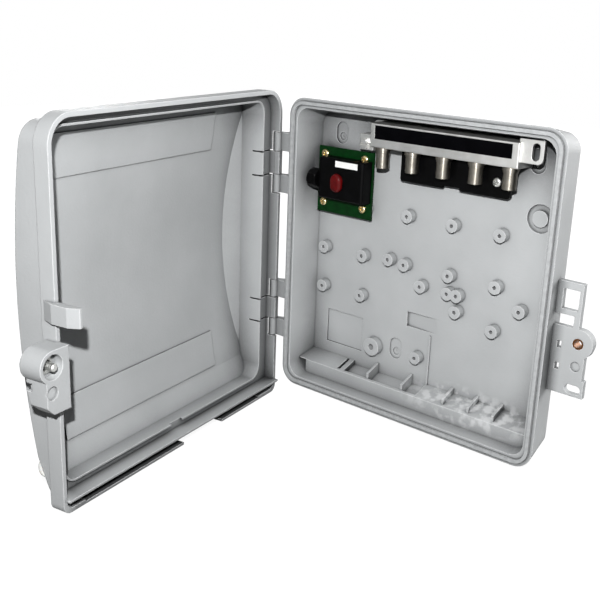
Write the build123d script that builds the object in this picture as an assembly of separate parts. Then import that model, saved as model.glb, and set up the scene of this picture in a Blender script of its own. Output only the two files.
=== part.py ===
"""Wall-mounted outdoor wiring enclosure, standing open.

Frame: millimetres, +Z up, +Y into the wall. The origin is the middle of the
back face, on the wall plane. The cover is drawn closed over the base and then
swung open about its hinge axis, which runs up the left side.
"""
from build123d import *
import os
from math import atan2, cos, radians, tan

# Driving dimensions of the base
base_width = 224.0
base_height = 226.8
base_depth = 28.0
base_corner = 14.0
draft = 10.0
corner_share = 0.5
panel_thick = 3.0
rim_width = 7.3
wall = 2.2
flange_thick = 9.0
groove_inset = 2.6
groove_width = 2.4
groove_depth = 4.5
overrun = 1.0

# Cover, measured as it lies closed over the base
open_angle = 79.5
skirt_gap = 1.3
skirt_wall = 3.0
skirt_lap = 4.0
skirt_depth = 11.0
skirt_corner = 18.0
land_thick = 2.5
hinge_overhang = 11.3
hood_drop = 11.9
hood_corner = 6.0
lip_thick = 1.4
lip_height = 2.3
cover_wall = 2.8
crown_depth = 36.8
crown_bow_radius = 520.0
crown_bow_height = 8.0
bevel_run = 12.9
bevel_rise = 8.0
hood_slope_start = 33.3
hood_slope_run = 14.0
shelf_thick = 1.6
shelf_depth = 12.0
hood_floor = 1.8
band_rise = 1.0
band_top = 75.0
band_bottom = -65.0
band_height = 27.0
band_left, band_right = -72.0, 88.0
notch_width = 46.6
notch_centre = -25.2
lip_gap_width = 13.0
lip_gap_centre = -2.0

# Hinges
hinge_reach = 11.8
hinge_set_back = 0.3
barrel_radius = 3.6
pin_radius = 1.6
pin_press = 0.02
pin_running = 0.05
swing_gap = 0.6
lug_top_shares = [0.3774, -0.1354]
lug_height = 13.9
knuckle_height = 18.2
slit_width = 1.2
slit_depth = 16.0
lug_root_rise = 11.0

# Bosses on the back panel, placed as shares of the base's width and height
boss_radius = 4.7
boss_height = 6.0
pilot_radius = 1.35
board_mid_share = (-0.3192, 0.2368)
lower_mid_share = (-0.3192, -0.0745)
column_pitch = 37.4
board_row_pitch = 36.6
lower_row_pitch = 31.4
grid_column_shares = [-0.0643, 0.1054, 0.2737]
grid_row_shares = [0.1578, -0.0022]
loose_boss_shares = [(-0.1281, 0.0035), (0.0045, -0.0591), (0.1076, -0.0595), (0.1415, -0.0595),
                     (0.3616, -0.0582), (0.1415, -0.1124), (0.2768, -0.1420), (0.0054, -0.3025)]
post_radius = 7.0
post_pilot_radius = 2.4
post_share = (-0.1737, -0.3108)

# Wall fixing recesses, knock-out and other marks in the back panel
slot_width = 11.0
slot_length = 16.4
slot_recess = 1.2
screw_hole_radius = 3.0
screw_hole_drop = 2.6
slot_top_margin = 25.4
slot_side_margin = 31.0
low_slot_share = (-0.0888, -0.2989)
knockout_share = (0.3862, 0.2249)
knockout_radius = 9.6
knockout_core_radius = 5.6
knockout_recess = 2.2
knockout_core_rise = 0.6
ramp_share = (-0.0509, -0.1601)
ramp_length = 26.4
ramp_height = 11.1
ramp_recess = 2.2
square_share = (-0.3884, -0.2293)
square_width = 35.0
square_height = 27.0
square_recess = 0.8
rib_share = (0.0491, -0.2205)
rib_length = 42.0
rib_width = 1.4
rib_rise = 1.0

# Cable ledge along the bottom, with heights above the base's lower edge
ledge_reach = 15.5
ledge_wall = 2.0
ledge_rise = 19.6
ledge_back_rise = 25.2
pocket_depth = 3.6
pocket_left_share, pocket_right_share = -0.2589, 0.0433
gusset_shares = [-0.1567, -0.0152, 0.1473, 0.2411, 0.3304]
gusset_thick = 1.8
gusset_rise = 29.8
gusset_foot_rise = 24.4
corner_notch_width = 9.5
corner_notch_depth = 6.5
ledge_slot_share = -0.2880
ledge_slot_width = 2.6
ledge_slot_depth = 5.0

# Lock bracket on the base and lock block on the cover, reaching out from the base's right side
bracket_front = 14.0
bracket_thick = 4.0
lock_gap = 2.0
screw_reach = 15.5
screw_z = -22.0
lobe_radius = 10.0
lock_reach = 21.0
lock_bottom = -51.0
lock_chamfer = 5.0
loop_reach = 15.0
loop_top = 17.5
window_near, window_far = 1.6, 12.8
window_top, window_bottom = 12.6, -0.8
bar_bottom = -4.4
neck_near = 11.0
eye_bottom = -58.0
eye_far = 22.6
eye_reach = 15.4
eye_z = -53.2
eye_width = 11.0
eye_height = 6.0
seal_hole_radius = 3.4
seal_hole_z = -37.5
seal_recess = 1.6
root_slot_near = 1.4
root_slot_width = 3.0
root_slot_height = 4.6
root_slot_high, lower_root_slot_high = -22.7, -37.7
bracket_root = 2.2
lock_length = 16.0
lock_web = 1.8
lock_foot_rise = 13.0
lock_foot_cut = 4.0
recess_depth = 6.8
recess_radius = 7.6
dimple_radius = 4.2
dimple_reach = 16.6
dimple_z = -37.6
head_radius = 5.5
head_slot_width = 1.6
head_slot_depth = 1.2
lock_screw_radius = 2.4
shank_clearance = 0.4
lock_travel = 5.0
tip_stand = 1.6
tip_chamfer = 0.8
ring_radius = 5.0
ring_thick = 1.2
ring_clearance = 0.05
ring_seat = 0.3
insert_radius = 3.7
insert_length = 7.6
insert_bore_clearance = 0.15
insert_boss_radius = 9.0
tongue_clearance = 0.7
tongue_length = 19.0
tongue_lead = 7.0
tongue_swell = 3.3
tongue_root = 9.0
side_notch_z = -35.5
side_notch_height = 5.0
side_notch_deep = 3.0
side_notch_length = 4.2
plug_radius = 6.5
plug_head = 2.4
plug_stem_radius = 4.0
plug_inset = 2.0
plug_rise = 22.3
plug_seat = 0.02

# Coax splitter
port_pitch = 25.4
port_count = 5
splitter_share = 0.0821
splitter_end = 7.9
splitter_top_margin = 12.2
splitter_height = 17.0
splitter_depth = 20.0
splitter_wall = 2.0
splitter_edge = 1.0
port_axis_depth = 14.0
port_radius = 4.76
port_length = 14.6
port_bore_radius = 3.6
port_bore_depth = 9.0
port_collar_radius = 5.8
port_collar_length = 2.2
port_step_radius = 5.2
port_step_length = 1.6
port_fit = 0.05
dielectric_hole_radius = 0.6
dielectric_length = 3.0
left_ear_length, right_ear_length = 10.5, 15.3
ear_thick = 2.0
ear_corner = 4.0
ear_slot_width = 4.0
ear_slot_length = 11.0
right_ear_set_back = 3.0
right_ear_low, right_ear_high = 4.2, 2.4
right_slot_reach = 9.9
right_slot_width = 5.3
right_slot_margin = 2.0
face_thick = 0.6
face_left_margin, face_right_margin = 4.0, 5.0
face_top_margin = 1.6
face_height = 9.4
guard_thick = 2.4
guard_gap = 0.4
guard_left_margin, guard_right_margin = 19.8, 10.1
guard_drop = 22.7
guard_corner = 2.0
guard_leg = 2.4
guard_leg_height = 8.0
guard_screw_margin = 20.1
guard_screw_drop = 12.4
guard_screw_length = 3.4
guard_notch_margin = 35.5
guard_notch_width = 13.5
guard_notch_rise = 1.8
back_plate_thick = 0.8
small_head_radius = 3.2
small_head_height = 2.0
small_shank_radius = 1.3
small_shank_length = 4.5
ground_head_radius = 4.2
ground_head_height = 3.2
ground_reach = 6.7
ground_rise = 1.0
ground_lug_reach = 11.7
ground_lug_rise = 7.8
ground_lug_drop = 3.4
ground_lug_stand = 6.0
ground_lug_depth = 9.6
ground_shank_radius = 2.0
ground_shank_length = 7.0

# Circuit board and its module
board_left_margin, board_right_margin = 6.2, 7.8
board_low_margin, board_high_margin = 7.6, 5.6
board_thick = 1.6
module_left_margin, module_right_margin = 8.4, 1.0
module_low_margin, module_high_margin = 12.7, 6.4
module_height = 11.0
module_edge = 2.0
relief_gap = 0.6
lens_inset = 18.5
lens_rise_up = 13.1
lens_width = 10.4
lens_height = 14.0
lens_rise = 3.6
lens_edge = 3.0
socket_reach = 4.2
socket_height_up = 13.5
socket_radius = 7.4
socket_bore_radius = 4.6
socket_bore_depth = 6.0
socket_rise = 8.2
strip_left_inset, strip_right_inset = 16.5, 5.0
strip_top_inset = 1.4
strip_height = 4.4
strip_thick = 0.3

# Worked out from the sizes above
half_width = base_width / 2
half_height = base_height / 2
rim = -base_depth
panel = -panel_thick
boss_face = panel - boss_height
slope = tan(radians(draft))
hinge_x = -half_width - hinge_reach
hinge_y = rim + hinge_set_back
hinge_axis = Axis((hinge_x, hinge_y, 0), (0, 0, 1))
cover_edge = rim + skirt_lap
skirt_right = half_width + skirt_gap + skirt_wall
skirt_left = -half_width - hinge_overhang
skirt_top = half_height + skirt_gap + skirt_wall
skirt_bottom = -half_height - hood_drop
land_face = cover_edge - skirt_depth + land_thick
land_front = cover_edge - skirt_depth
lip_face = land_face + lip_height
cavity_half_width = half_width - groove_inset - groove_width / 2 - lip_thick / 2
cavity_half_height = half_height - groove_inset - groove_width / 2 - lip_thick / 2
cavity_corner = base_corner - groove_inset - groove_width / 2 - lip_thick / 2
crown_front = cover_edge - crown_depth
bracket_face = -bracket_front
lock_face = bracket_face - lock_gap
lock_block_front = lock_face - lock_length
recess_floor = lock_face - recess_depth
head_seat = recess_floor - lock_web
head_height = lock_length - recess_depth - lock_web - lock_travel
screw_x = half_width + screw_reach
lock_right = half_width + lock_reach
window_left, window_right = half_width + window_near, half_width + window_far
slot_b_bottom = screw_z + lobe_radius
lug_tops = [share * base_height for share in lug_top_shares]
port_y = panel - port_axis_depth
splitter_x = splitter_share * base_width
splitter_length = port_pitch * (port_count - 1) + 2 * splitter_end
splitter_front = panel - splitter_depth
splitter_left = splitter_x - splitter_length / 2
splitter_right = splitter_x + splitter_length / 2
splitter_high = half_height - splitter_top_margin
splitter_low = splitter_high - splitter_height
splitter_mid = splitter_high - splitter_height / 2
guard_front = port_y + port_collar_radius + guard_gap
guard_left, guard_right = splitter_left + guard_left_margin, splitter_right - guard_right_margin
guard_low = splitter_low - guard_drop
guard_screw_x = splitter_right - guard_screw_margin
guard_screw_z = splitter_low - guard_screw_drop
ground_x = splitter_left - ground_reach
ground_z = splitter_low + ground_rise
ground_lug_back = panel - ground_lug_stand
ground_lug_front = ground_lug_back - ground_lug_depth
board_x, board_z = board_mid_share[0] * base_width, board_mid_share[1] * base_height
board_left = board_x - column_pitch / 2 - board_left_margin
board_right = board_x + column_pitch / 2 + board_right_margin
board_low = board_z - board_row_pitch / 2 - board_low_margin
board_high = board_z + board_row_pitch / 2 + board_high_margin
board_back = boss_face
board_front = board_back - board_thick
module_left, module_right = board_left + module_left_margin, board_right - module_right_margin
module_low, module_high = board_low + module_low_margin, board_high - module_high_margin
module_front = board_front - module_height
hood_lean = atan2(hood_slope_run, hood_slope_start)


def slab(outline, back, front):
    """Push a flat outline, drawn in X and Z, from one Y to another towards the viewer."""
    return extrude(Plane.XZ.offset(-back) * outline, amount=back - front)


def block(left, right, low, high, back, front):
    """A square-edged block between six planes."""
    return slab(frame_face(left, right, low, high), back, front)


def frame_face(left, right, low, high):
    """A flat rectangle between four lines."""
    return Pos((left + right) / 2, (low + high) / 2) * Rectangle(right - left, high - low)


def column(outline, low, high):
    """Raise a flat outline, drawn in X and Y, from one height to another."""
    return extrude(Plane.XY.offset(low) * outline, amount=high - low)


def rod(radius, x, z, back, front):
    """A round bar along Y."""
    return slab(Pos(x, z) * Circle(radius), back, front)


def post(radius, x, y, low, high):
    """A round bar along Z."""
    return column(Pos(x, y) * Circle(radius), low, high)


def tray_outline(inset, y):
    """Rounded outline of the base, drafted towards the wall, as a face at that Y."""
    lost = inset + (y - rim) * slope
    corner = base_corner - corner_share * lost
    outline = RectangleRounded(base_width - 2 * lost, base_height - 2 * lost, corner)
    return Plane.XZ.offset(-y) * outline


def tray(inset, back, front):
    """A drafted solid between two levels of the base."""
    return loft([tray_outline(inset, back), tray_outline(inset, front)], ruled=True)


def ring(inset, width, back, front):
    """A band that follows the rim of the base."""
    outside = RectangleRounded(base_width - 2 * inset, base_height - 2 * inset, base_corner - inset)
    inner = inset + width
    inside = RectangleRounded(base_width - 2 * inner, base_height - 2 * inner, base_corner - inner)
    return slab(outside - inside, back, front)


def panel_place(shares):
    """A place on the back panel, given as shares of the base's width and height."""
    return shares[0] * base_width, shares[1] * base_height


def four_places(mid, row_pitch):
    """Four screw places around a middle."""
    x, z = panel_place(mid)
    across, up = column_pitch / 2, row_pitch / 2
    return [(x - across, z - up), (x - across, z + up), (x + across, z - up), (x + across, z + up)]


def boss_places():
    """Every place where a plain screw boss stands."""
    boards = four_places(board_mid_share, board_row_pitch) + four_places(lower_mid_share, lower_row_pitch)
    grid = [(x, z) for x in grid_column_shares for z in grid_row_shares]
    return boards + [panel_place(share) for share in grid + loose_boss_shares]


def slot_places():
    """The three wall fixing recesses."""
    x, z = half_width - slot_side_margin, half_height - slot_top_margin
    return [(-x, z), (x, z), panel_place(low_slot_share)]


def lock_outline(left):
    """Outline that the lock bracket and the lock block share, from a chosen left edge."""
    lobe = Pos(screw_x, screw_z) * Circle(lobe_radius)
    neck = Polygon((left, lock_bottom), (lock_right - lock_chamfer, lock_bottom),
                   (lock_right, lock_bottom + lock_chamfer), (lock_right, screw_z), (screw_x, screw_z),
                   (screw_x, slot_b_bottom), (left, slot_b_bottom), align=None)
    return neck + lobe


def lug(top):
    """One arm of the base's hinge, with its eye for the pin."""
    wall_x = -half_width + bracket_root
    arm = Polygon((wall_x, rim + lug_root_rise), (hinge_x, hinge_y + barrel_radius), (hinge_x, hinge_y),
                  (wall_x, rim + hinge_set_back), align=None)
    eye = Pos(hinge_x, hinge_y) * Circle(pin_radius + pin_press)
    outline = arm + Pos(hinge_x, hinge_y) * Circle(barrel_radius) - eye
    return column(outline, top - lug_height, top)


def lug_pairs():
    """Top of every hinge arm: two arms at each hinge, with the cover's knuckle between them."""
    return [t for top in lug_tops for t in (top, top - lug_height - knuckle_height)]


def make_bracket():
    """Lock bracket: a padlock loop, the plate with the screw insert and a lower eye."""
    root = half_width - (base_depth - bracket_front) * slope - bracket_root
    back = bracket_face + bracket_thick
    loop_right = half_width + loop_reach
    plate = lock_outline(root)
    loop = frame_face(root, loop_right, bar_bottom, loop_top)
    window = frame_face(window_left, window_right, window_bottom, window_top)
    neck = frame_face(half_width + neck_near, loop_right, slot_b_bottom - overrun, bar_bottom + overrun)
    eye = frame_face(root, half_width + eye_far, eye_bottom, lock_bottom + lock_chamfer)
    eye_hole = Pos(half_width + eye_reach, eye_z) * SlotOverall(eye_width, eye_height)
    outline = plate + loop + neck + eye - window - eye_hole
    near = half_width + root_slot_near
    for high in (root_slot_high, lower_root_slot_high):
        outline -= frame_face(near, near + root_slot_width, high - root_slot_height, high)
    bracket = slab(outline, back, bracket_face)
    bracket += rod(insert_boss_radius, screw_x, screw_z, bracket_face + insert_length, bracket_face)
    bracket -= rod(seal_hole_radius, screw_x, seal_hole_z, bracket_face + seal_recess, bracket_face)
    return bracket - rod(insert_radius, screw_x, screw_z, bracket_face + insert_length, bracket_face)


def bar(profile, left, right):
    """Push an outline, drawn in Y and Z, from one X to another."""
    return extrude(Plane.YZ.offset(left) * profile, amount=right - left)


def make_ledge():
    """Cable ledge: a sloped shelf along the bottom with a lipped pocket, upright gussets and two cuts."""
    front = panel - ledge_reach
    floor = -half_height + rim_width
    lip, high = -half_height + ledge_rise, -half_height + ledge_back_rise
    reach = half_width - rim_width
    shelf = Polygon((panel, floor), (panel, high), (front, lip), (front, floor), align=None)
    ledge = bar(shelf, -reach, reach)
    inner = front + ledge_wall
    pocket = Polygon((panel, high - pocket_depth), (panel, high), (inner, high), (inner, lip - pocket_depth),
                     align=None)
    ledge -= bar(pocket, pocket_left_share * base_width, pocket_right_share * base_width)
    foot = -half_height + gusset_foot_rise
    gusset = Polygon((panel, floor), (panel, -half_height + gusset_rise), (inner, foot), (inner, floor),
                     align=None)
    for share in gusset_shares:
        middle = share * base_width
        ledge += bar(gusset, middle - gusset_thick / 2, middle + gusset_thick / 2)
    ledge -= block(-reach, -reach + corner_notch_width, floor, lip, front + corner_notch_depth, front)
    slot = ledge_slot_share * base_width
    return ledge - block(slot, slot + ledge_slot_width, lip - ledge_slot_depth, high, panel, inner)


def make_base():
    """Moulded base tray with all that is moulded on it."""
    body = tray(0, 0, rim) - tray(rim_width, panel, rim)
    hollow = tray(wall, 0, rim + flange_thick) - tray(rim_width - wall, 0, rim + flange_thick)
    body -= hollow
    body -= ring(groove_inset, groove_width, rim + groove_depth, rim)
    inside = tray(rim_width - wall, 0, rim)
    body += make_ledge() & inside
    body += slab(Sketch() + [Pos(*p) * Circle(boss_radius) for p in boss_places()], panel, boss_face)
    body += rod(post_radius, *panel_place(post_share), panel, boss_face)
    rib_x, rib_top = panel_place(rib_share)
    body += block(rib_x - rib_width, rib_x, rib_top - rib_length, rib_top, panel, panel - rib_rise)
    for top in lug_pairs():
        body += lug(top)
    body += make_bracket()
    body -= slab(Sketch() + [Pos(*p) * Circle(pilot_radius) for p in boss_places()], panel, boss_face)
    body -= rod(post_pilot_radius, *panel_place(post_share), panel, boss_face)
    for x, z in slot_places():
        recess = Pos(x, z) * Rot(0, 0, 90) * SlotOverall(slot_length, slot_width)
        body -= slab(recess, panel + slot_recess, panel)
        body -= rod(screw_hole_radius, x, z - screw_hole_drop, 0, panel)
    knockout = panel_place(knockout_share)
    cup = Circle(knockout_radius) - Circle(knockout_core_radius)
    body -= slab(Pos(*knockout) * cup, panel + knockout_recess, panel)
    body += rod(knockout_core_radius, *knockout, panel, panel - knockout_core_rise)
    ramp_left, ramp_top = panel_place(ramp_share)
    ramp = Polygon((ramp_left, panel), (ramp_left + ramp_length, panel), (ramp_left, panel + ramp_recess),
                   align=None)
    body -= column(ramp, ramp_top - ramp_height, ramp_top)
    square_left, square_top = panel_place(square_share)
    return body - block(square_left, square_left + square_width, square_top - square_height, square_top,
                        panel + square_recess, panel)


def skirt_outline(inset):
    """Outline of the cover's skirt, with wide corners above and tight ones at the hood."""
    left, right = skirt_left + inset, skirt_right - inset
    low, high = skirt_bottom + inset, skirt_top - inset
    face = frame_face(left, right, low, high)
    face = fillet(face.vertices().sort_by(Axis.Y)[2:], skirt_corner - inset)
    return fillet(face.vertices().sort_by(Axis.Y)[:2], hood_corner - inset / 2)


def crown(inset):
    """Raised front of the cover: bowed from top to bottom, bevelled beside the hinge."""
    grow = cover_wall - inset
    left, right = -cavity_half_width - grow, cavity_half_width + grow
    high = cavity_half_height + grow
    low = skirt_bottom if inset == 0 else -cavity_half_height
    corner = cavity_corner + grow
    outline = Pos((left + right) / 2, (low + high) / 2) * RectangleRounded(right - left, high - low, corner)
    back = land_face if inset == 0 else cover_edge
    front = crown_front + inset
    body = slab(outline, back, front)
    section = Polygon((left, back), (left, front + bevel_rise), (left + bevel_run, front), (right, front),
                      (right, back), align=None)
    body &= column(section, low, high)
    arc = Pos(crown_front + crown_bow_radius, crown_bow_height) * Circle(crown_bow_radius - inset)
    body &= extrude(Plane.YZ.offset(left) * arc, amount=right - left)
    return body - Pos(0, inset / cos(hood_lean), 0) * hood_cut()


def hood_cut():
    """Wedge that slopes the lower front of the cover back to the hood's edge."""
    high = skirt_bottom + hood_slope_start
    low_front = land_front - cover_wall
    high_front = low_front - hood_slope_run
    far = crown_front - crown_depth
    wedge = Polygon((far, high), (far, skirt_bottom - overrun), (low_front, skirt_bottom - overrun),
                    (low_front, skirt_bottom), (high_front, high), align=None)
    return extrude(Plane.YZ.offset(skirt_left) * wedge, amount=skirt_right - skirt_left)


def hood_front(z):
    """Y of the hood's sloped front at a height."""
    return land_front - cover_wall - hood_slope_run * (z - skirt_bottom) / hood_slope_start


def hood_hollow():
    """Drip space inside the hood, open towards the wall, with its far side along the sloped front."""
    low = skirt_bottom + hood_floor
    mouth = -half_height - skirt_gap - shelf_thick
    skin = cover_wall / cos(hood_lean)
    space = Polygon((cover_edge, low), (cover_edge, mouth), (hood_front(mouth) + skin, mouth),
                    (hood_front(low) + skin, low), align=None)
    reach = cavity_half_width - cavity_corner
    return bar(space, -reach, reach)


def lock_block():
    """Block on the cover's free side that carries the captive screw."""
    left = skirt_right - skirt_wall / 2
    body = slab(lock_outline(left), lock_face, lock_block_front)
    foot = Polygon((lock_block_front, lock_bottom + lock_foot_rise), (lock_block_front, lock_bottom),
                   (lock_block_front + lock_foot_cut, lock_bottom), align=None)
    body -= bar(foot, left, lock_right)
    body -= rod(recess_radius, screw_x, screw_z, lock_face, recess_floor)
    body -= rod(head_radius + shank_clearance, screw_x, screw_z, head_seat, lock_block_front)
    body -= rod(lock_screw_radius + shank_clearance, screw_x, screw_z, lock_face, lock_block_front)
    body -= rod(dimple_radius, half_width + dimple_reach, dimple_z, lock_face, lock_face - seal_recess)
    return body - block(lock_right - side_notch_deep, lock_right, side_notch_z - side_notch_height / 2,
                        side_notch_z + side_notch_height / 2, lock_block_front + side_notch_length,
                        lock_block_front)


def make_tongue():
    """Tongue that swells from the cover's free side and passes the padlock window, with a slanted lead."""
    near = window_left + tongue_clearance
    far = skirt_right + tongue_swell
    tip = cover_edge + tongue_length
    outline = Polygon((near, cover_edge - skirt_wall), (skirt_right, cover_edge - tongue_root),
                      (far, cover_edge), (far, tip - tongue_lead), (skirt_right, tip), (near, tip),
                      align=None)
    return column(outline, window_bottom + tongue_clearance, window_top - tongue_clearance)


def swing(solid):
    """Carry a solid from its closed place to the open pose."""
    return solid.rotate(hinge_axis, -open_angle)


def make_cover():
    """Moulded cover, drawn closed."""
    body = slab(skirt_outline(0), cover_edge, land_front)
    body -= slab(skirt_outline(skirt_wall), cover_edge, land_face)
    body += crown(0)
    lip_inset = groove_inset + groove_width / 2 - lip_thick / 2
    body += ring(lip_inset, lip_thick, lip_face, land_front)
    shelf_low = -half_height - skirt_gap - shelf_thick
    inset = skirt_wall / 2
    body += block(skirt_left + inset, skirt_right - inset, shelf_low, shelf_low + shelf_thick,
                  land_face + shelf_depth, land_front)
    body -= crown(cover_wall)
    skin = crown(cover_wall) - crown(cover_wall + band_rise)
    for low in (band_top, band_bottom - band_height):
        body += block(band_left, band_right, low, low + band_height, land_front, crown_front) & skin
    body -= hood_hollow()
    body += lock_block()
    body += make_tongue()
    body -= block(notch_centre - notch_width / 2, notch_centre + notch_width / 2, skirt_bottom,
                  skirt_bottom + skirt_wall, cover_edge, land_front - cover_wall)
    body -= block(lip_gap_centre - lip_gap_width / 2, lip_gap_centre + lip_gap_width / 2,
                  -half_height + groove_inset, -cavity_half_height, lip_face, land_face)
    for top in lug_tops:
        body = cut_hinge(body, top)
    return body - plug_stem()


def cut_hinge(body, top):
    """Clear the two arms of one hinge, then add the knuckle and the slits beside it."""
    knuckle_top = top - lug_height
    knuckle_low = knuckle_top - knuckle_height
    for high in (top, knuckle_low):
        clear = high if high == knuckle_low else high + swing_gap
        low = clear - lug_height - swing_gap
        body -= post(barrel_radius + swing_gap, hinge_x, hinge_y, low, clear)
        body -= block(hinge_x, skirt_left + skirt_wall, low, clear, cover_edge, hinge_y - swing_gap)
    body += post(barrel_radius, hinge_x, hinge_y, knuckle_low + swing_gap, knuckle_top - swing_gap)
    body -= post(pin_radius + pin_running, hinge_x, hinge_y, knuckle_low, knuckle_top)
    for z in (knuckle_top, knuckle_low):
        body -= block(skirt_left, -cavity_half_width, z - slit_width / 2, z + slit_width / 2,
                      cover_edge, cover_edge - slit_depth)
    return body


def plug_plane():
    """Where the round plug sits on the hood's sloped front, facing out."""
    z = skirt_bottom + plug_rise
    middle = (cavity_half_width - plug_inset, hood_front(z), z)
    return Plane(origin=middle, x_dir=(1, 0, 0), z_dir=(0, -hood_slope_start, -hood_slope_run))


def plug_stem():
    """Hole in the cover for the plug's stem."""
    return extrude(plug_plane() * Circle(plug_stem_radius), amount=-cover_wall)


def make_plug():
    """Round hole plug on the lower front corner of the cover."""
    place = plug_plane()
    head = extrude(place * Circle(plug_radius), amount=plug_head)
    head = fillet(head.faces().sort_by(Axis.Y)[0].edges(), plug_head / 2)
    return head + extrude(place * Circle(plug_stem_radius - plug_seat), amount=-cover_wall)


def make_lock_screw():
    """Captive screw: slotted head in front, plain thread core behind."""
    tip = lock_face + tip_stand
    seat = head_seat - lock_travel
    shank = rod(lock_screw_radius, screw_x, screw_z, tip, seat)
    shank = chamfer(shank.edges().sort_by(Axis.Y)[-1], tip_chamfer)
    head = rod(head_radius, screw_x, screw_z, seat, seat - head_height)
    head = fillet(head.edges().sort_by(Axis.Y)[0], tip_chamfer)
    head -= block(screw_x - head_radius, screw_x + head_radius, screw_z - head_slot_width / 2,
                  screw_z + head_slot_width / 2, seat - head_height + head_slot_depth, seat - head_height)
    return shank + head


def make_lock_ring():
    """Retaining ring that keeps the screw in the cover."""
    front = recess_floor + ring_seat
    outline = Circle(ring_radius) - Circle(lock_screw_radius + ring_clearance)
    return slab(Pos(screw_x, screw_z) * outline, front + ring_thick, front)


def make_insert():
    """Brass insert in the lock bracket."""
    outline = Circle(insert_radius) - Circle(lock_screw_radius + insert_bore_clearance)
    return slab(Pos(screw_x, screw_z) * outline, bracket_face + insert_length, bracket_face)


def make_pin(top):
    """Steel hinge pin through both arms and the knuckle."""
    length = 2 * lug_height + knuckle_height
    return post(pin_radius, hinge_x, hinge_y, top - length, top)


def left_ear():
    """Slotted ear at the splitter's back, beside the ground lug."""
    ear = frame_face(splitter_left - left_ear_length, splitter_left, splitter_low, splitter_high)
    ear = fillet(ear.vertices().sort_by(Axis.X)[:2], ear_corner)
    slot = Rot(0, 0, 90) * SlotOverall(ear_slot_length, ear_slot_width)
    return ear - Pos(splitter_left - left_ear_length / 2, splitter_mid) * slot


def right_ear():
    """Longer slotted ear that stands near the splitter's front and above its top."""
    low, high = splitter_low + right_ear_low, splitter_high + right_ear_high
    ear = frame_face(splitter_right - splitter_wall, splitter_right + right_ear_length, low, high)
    ear = fillet(ear.vertices().sort_by(Axis.X)[2:].sort_by(Axis.Y)[:1], ear_corner)
    slot = Rot(0, 0, 90) * SlotOverall(high - low - 2 * right_slot_margin, right_slot_width)
    return ear - Pos(splitter_right + right_slot_reach, (low + high) / 2) * slot


def make_splitter():
    """Die-cast splitter housing, hollow behind, with a slotted ear at each end."""
    back = panel - back_plate_thick
    body = block(splitter_left, splitter_right, splitter_low, splitter_high, back, splitter_front)
    body = fillet(body.faces().sort_by(Axis.Y)[0].edges(), splitter_edge)
    body -= block(splitter_left + splitter_wall, splitter_right - splitter_wall, splitter_low + splitter_wall,
                  splitter_high - splitter_wall, back, splitter_front + splitter_wall)
    body += slab(left_ear(), panel, panel - ear_thick)
    raised = splitter_front + right_ear_set_back
    body += slab(right_ear(), raised + ear_thick, raised)
    for x in port_places():
        body -= post(port_radius + port_fit, x, port_y, splitter_low, splitter_low + splitter_wall)
    body += block(splitter_left - ground_lug_reach, splitter_left, splitter_low - ground_lug_drop,
                  splitter_low + ground_lug_rise, ground_lug_back, ground_lug_front)
    body -= rod(ground_shank_radius + pin_press, ground_x, ground_z, ground_lug_back, ground_lug_front)
    return body - face_panel(face_thick)


def face_panel(depth):
    """Bare black field on the splitter's front."""
    high = splitter_high - face_top_margin
    left, right = splitter_left + face_left_margin, splitter_right - face_right_margin
    return block(left, right, high - face_height, high, splitter_front + depth, splitter_front)


def port_places():
    """X of each coax port."""
    first = splitter_x - port_pitch * (port_count - 1) / 2
    return [first + i * port_pitch for i in range(port_count)]


def make_port(x):
    """Turned coax port with a collar under the housing and a bore for its insulator."""
    tip = splitter_low - port_length
    body = post(port_radius, x, port_y, tip, splitter_low + splitter_wall)
    step = splitter_low - port_collar_length
    body += post(port_collar_radius, x, port_y, step, splitter_low)
    body += post(port_step_radius, x, port_y, step - port_step_length, step)
    return body - post(port_bore_radius, x, port_y, tip, tip + port_bore_depth)


def make_dielectrics():
    """Insulators inside the ports, each with a hole for the cable's centre wire."""
    outline = Circle(port_bore_radius - pin_press) - Circle(dielectric_hole_radius)
    top = splitter_low - port_length + port_bore_depth
    return Compound([column(Pos(x, port_y) * outline, top - dielectric_length, top) for x in port_places()])


def make_guard():
    """Black guard plate behind the four output ports."""
    back = guard_front + guard_thick
    outline = frame_face(guard_left, guard_right, guard_low, splitter_low)
    outline = fillet(outline.vertices().sort_by(Axis.Y)[:2], guard_corner)
    notch_left = guard_left + guard_notch_margin
    outline -= frame_face(notch_left, notch_left + guard_notch_width, guard_low, guard_low + guard_notch_rise)
    plate = slab(outline, back, guard_front)
    for left in (guard_left, guard_right - guard_leg):
        plate += block(left, left + guard_leg, splitter_low - guard_leg_height, splitter_low, panel, back)
    return plate - rod(small_shank_radius + pin_press, guard_screw_x, guard_screw_z, back, guard_front)


def make_back_plate():
    """Thin cover soldered over the back of the splitter."""
    return block(splitter_left, splitter_right, splitter_low, splitter_high, panel, panel - back_plate_thick)


def pan_screw(x, z, seat, head_radius, head_height, shank_radius, shank_length):
    """Pan-head screw along Y, seated on a face."""
    head = rod(head_radius, x, z, seat, seat - head_height)
    head = fillet(head.edges().sort_by(Axis.Y)[0], head_height / 2)
    return head + rod(shank_radius, x, z, seat + shank_length, seat)


def make_board_screws():
    """Four screws that hold the board to its bosses."""
    return Compound([pan_screw(x, z, board_front, small_head_radius, small_head_height, small_shank_radius,
                               small_shank_length) for x, z in four_places(board_mid_share, board_row_pitch)])


def make_board():
    """Circuit board with holes for its screws."""
    board = block(board_left, board_right, board_low, board_high, board_back, board_front)
    holes = Sketch() + [Pos(x, z) * Circle(small_shank_radius + shank_clearance)
                        for x, z in four_places(board_mid_share, board_row_pitch)]
    return board - slab(holes, board_back, board_front)


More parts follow.
